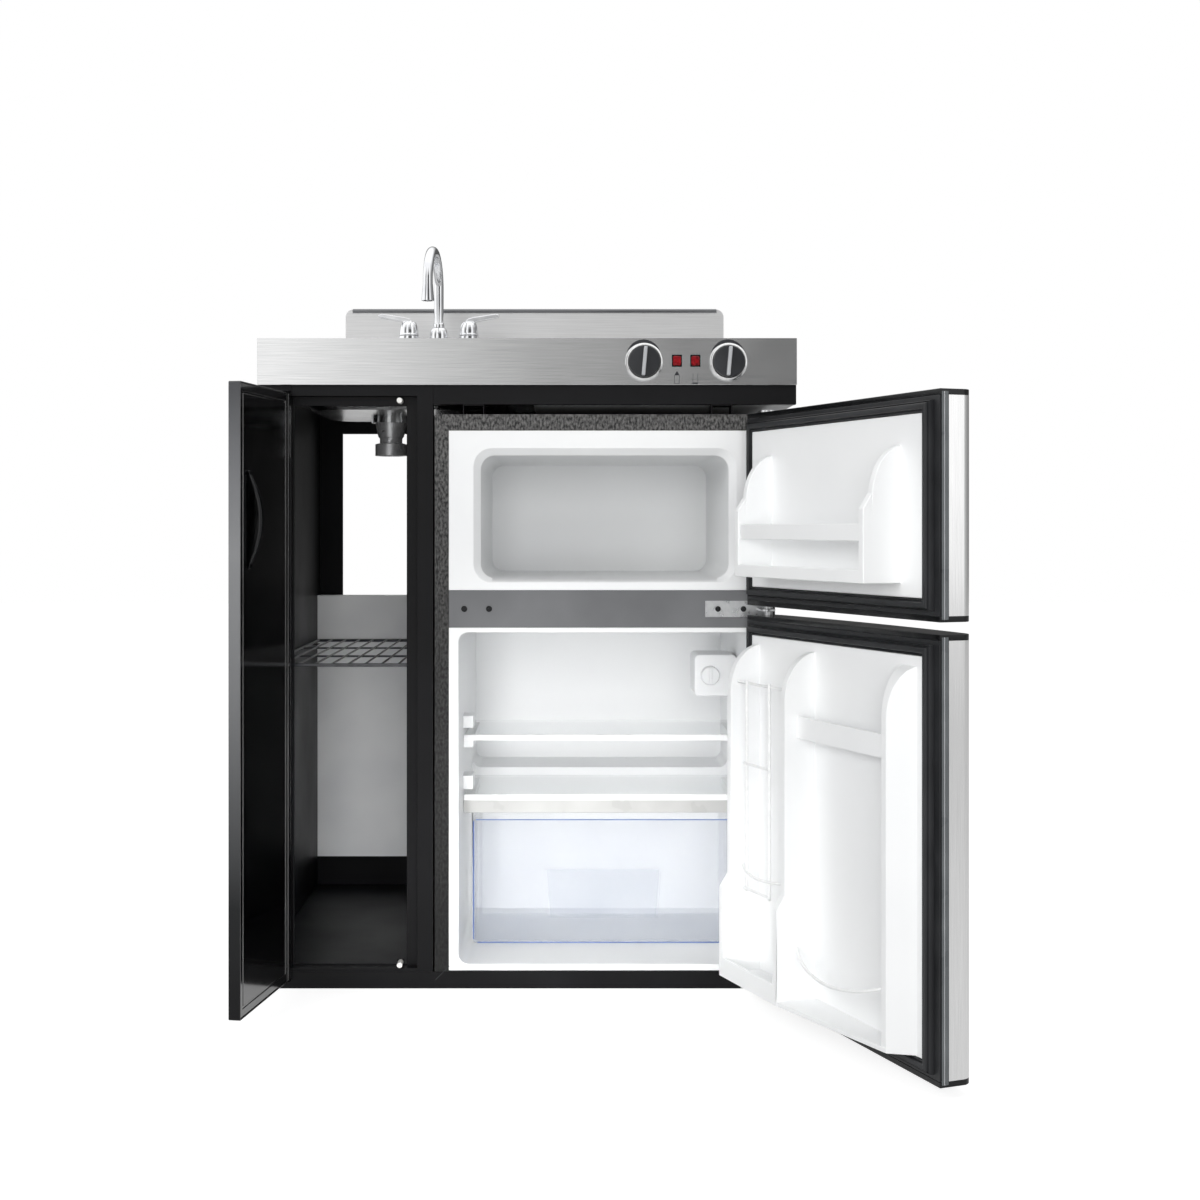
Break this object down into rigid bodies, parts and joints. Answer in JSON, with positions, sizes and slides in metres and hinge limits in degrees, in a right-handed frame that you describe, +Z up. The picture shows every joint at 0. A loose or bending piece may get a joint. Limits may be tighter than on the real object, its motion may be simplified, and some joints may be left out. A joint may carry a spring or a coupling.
{
  "type": "compact kitchen unit with sink and electric hob",
  "caption": "Compact kitchen unit: stainless worktop with sink, faucet and coil hob over a black storage cupboard and a fridge-freezer with stainless doors, all shown open.",
  "frame": {"origin": "on the floor, under the middle of the worktop's outline", "axes": "+X to the right of someone who stands in front, +Y to the wall behind, +Z up"},
  "size_m": [0.899, 1.0778, 1.121],
  "materials": {
    "stainless_steel": "brushed",
    "chrome": "polished",
    "black_steel": "satin",
    "textured_steel": "embossed satin",
    "grey_steel": "galvanised",
    "shelf_wire": "satin",
    "zinc_steel": "plated",
    "dark_screws": "satin",
    "heating_tube": "matte",
    "ceramic_block": "matte",
    "red_lens": "glossy",
    "foam": "closed-cell foam",
    "white_liner": "glossy",
    "coated_wire": "vinyl coated",
    "charcoal_plastic": "satin",
    "black_plastic": "glossy",
    "gasket_rubber": "matte",
    "shelf_glass": "clear",
    "clear_plastic": "clear",
    "knob_plastic": "satin",
    "bumper_rubber": "matte"
  },
  "bodies": {
    "cabinet": {"base_pan": "black_steel", "left_side_panel": "black_steel", "divider_panel": "black_steel", "face_frame": "black_steel", "door_bumpers": "bumper_rubber", "storage_floor": "black_steel", "storage_back_panel": "grey_steel", "rear_rail": "black_steel", "front_rail": "black_steel", "wiring_box": "grey_steel", "wire_shelf": "shelf_wire", "worktop": "stainless_steel", "backsplash": "stainless_steel", "sink_bowl": "stainless_steel", "strainer_body": "chrome", "lock_nuts": "zinc_steel", "faucet_base": "chrome", "drip_bowls": "chrome", "front_element": "heating_tube", "rear_element": "heating_tube", "element_supports": "grey_steel", "element_receptacles": "ceramic_block", "heat_switches": "ceramic_block", "indicator_lights": "red_lens", "fridge_case": "textured_steel", "fridge_foam": "foam", "freezer_liner": "white_liner", "fridge_liner": "white_liner", "mullion": "charcoal_plastic", "hinge_brackets": "zinc_steel", "hinge_screws": "dark_screws", "upper_shelf": "shelf_glass", "crisper_cover": "shelf_glass", "thermostat_housing": "white_liner", "compressor": "black_steel", "condenser": "black_steel"},
    "storage_door": {"storage_door": "black_steel", "storage_door_handle": "black_plastic"},
    "freezer_door": {"freezer_door_skin": "stainless_steel", "freezer_door_caps": "black_plastic", "freezer_door_frame": "charcoal_plastic", "freezer_door_gasket": "gasket_rubber", "freezer_door_core": "foam", "freezer_door_liner": "white_liner", "freezer_door_bar": "white_liner"},
    "fridge_door": {"fridge_door_skin": "stainless_steel", "fridge_door_caps": "black_plastic", "fridge_door_frame": "charcoal_plastic", "fridge_door_gasket": "gasket_rubber", "fridge_door_core": "foam", "fridge_door_liner": "white_liner", "door_wire_guards": "coated_wire"},
    "left_knob": {"left_knob": "knob_plastic"},
    "right_knob": {"right_knob": "knob_plastic"},
    "spout": {"spout": "chrome"},
    "hot_handle": {"hot_handle": "chrome"},
    "cold_handle": {"cold_handle": "chrome"},
    "strainer_basket": {"strainer_basket": "chrome"},
    "thermostat_dial": {"thermostat_dial": "white_liner"},
    "crisper_drawer": {"crisper_drawer": "clear_plastic"}
  },
  "joints": [
    {"name": "storage_door_hinge", "type": "hinge", "parent": "cabinet", "child": "storage_door", "pos_m": [-0.341, -0.308, 0.43], "axis": [0, 0, -1], "range_deg": [-99, 11]},
    {"name": "freezer_door_hinge", "type": "hinge", "parent": "cabinet", "child": "freezer_door", "pos_m": [0.336, -0.332, 0.678], "axis": [0, 0, 1], "range_deg": [-111, 9]},
    {"name": "fridge_door_hinge", "type": "hinge", "parent": "cabinet", "child": "fridge_door", "pos_m": [0.336, -0.332, 0.273], "axis": [0, 0, 1], "range_deg": [-111, 9]},
    {"name": "left_knob_turn", "type": "hinge", "parent": "cabinet", "child": "left_knob", "pos_m": [0.165, -0.306, 0.886], "axis": [0, -1, 0], "continuous": true},
    {"name": "right_knob_turn", "type": "hinge", "parent": "cabinet", "child": "right_knob", "pos_m": [0.284, -0.306, 0.886], "axis": [0, -1, 0], "continuous": true},
    {"name": "spout_swivel", "type": "hinge", "parent": "cabinet", "child": "spout", "pos_m": [-0.161, 0.19, 0.96], "axis": [0, 0, 1], "range_deg": [-60, 60]},
    {"name": "hot_handle_turn", "type": "hinge", "parent": "cabinet", "child": "hot_handle", "pos_m": [-0.2118, 0.19, 0.96], "axis": [0, 0, 1], "range_deg": [0, 90]},
    {"name": "cold_handle_turn", "type": "hinge", "parent": "cabinet", "child": "cold_handle", "pos_m": [-0.1102, 0.19, 0.96], "axis": [0, 0, -1], "range_deg": [0, 90]},
    {"name": "thermostat_dial_turn", "type": "hinge", "parent": "cabinet", "child": "thermostat_dial", "pos_m": [0.276, -0.0973, 0.426], "axis": [0, -1, 0], "range_deg": [0, 270]},
    {"name": "strainer_basket_lift", "type": "slide", "parent": "cabinet", "child": "strainer_basket", "axis": [0, 0, 1], "range_m": [0, 0.09]},
    {"name": "crisper_drawer_slide", "type": "slide", "parent": "cabinet", "child": "crisper_drawer", "axis": [0, -1, 0], "range_m": [0, 0.18]}
  ]
}
